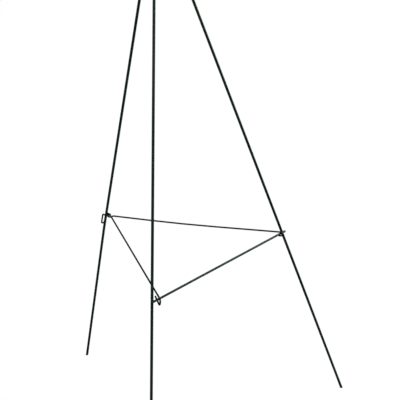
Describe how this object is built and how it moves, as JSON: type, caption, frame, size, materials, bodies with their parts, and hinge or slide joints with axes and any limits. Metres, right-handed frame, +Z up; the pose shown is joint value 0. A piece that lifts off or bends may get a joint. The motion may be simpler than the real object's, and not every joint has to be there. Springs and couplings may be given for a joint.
{
  "type": "folding wire plant support tripod",
  "caption": "Folding three-legged wire stand: two front legs with a welded crossbar, a hinged rear leg, and a V-shaped wire brace that slides on the rear leg and hooks over the crossbar.",
  "frame": {"origin": "on the floor, in the middle of the footprint of the opened tripod", "axes": "+Z up, +Y towards the rear leg, +X to the right of someone standing in front of the crossbar"},
  "size_m": [0.4966, 0.4242, 0.8643],
  "materials": {
    "green_enamel": "satin",
    "zinc_steel": "satin"
  },
  "bodies": {
    "front_frame": {"front_left_leg": "green_enamel", "front_right_leg": "green_enamel", "crossbar": "green_enamel", "top_pin": "zinc_steel", "pin_washer": "zinc_steel"},
    "rear_leg": {"rear_leg": "green_enamel"},
    "keeper": {"brace_keeper": "green_enamel"},
    "brace": {"brace_wire": "green_enamel"}
  },
  "joints": [
    {"name": "rear_leg_fold", "type": "hinge", "parent": "front_frame", "child": "rear_leg", "pos_m": [0, 0.0062, 0.857], "axis": [-1, 0, 0], "range_deg": [0, 24.5]},
    {"name": "keeper_slide", "type": "slide", "parent": "rear_leg", "child": "keeper", "axis": [0, -0.2332, 0.9724], "range_m": [0, 0.386]},
    {"name": "brace_turn", "type": "hinge", "parent": "keeper", "child": "brace", "pos_m": [0, 0.13147, 0.3254], "axis": [1, 0, 0], "range_deg": [0, 92.5]}
  ],
  "couplings": [
    {"joint": "keeper_slide", "follows": "rear_leg_fold", "m_per_rad": 0.89985},
    {"joint": "brace_turn", "follows": "rear_leg_fold", "ratio": 3.7714}
  ]
}
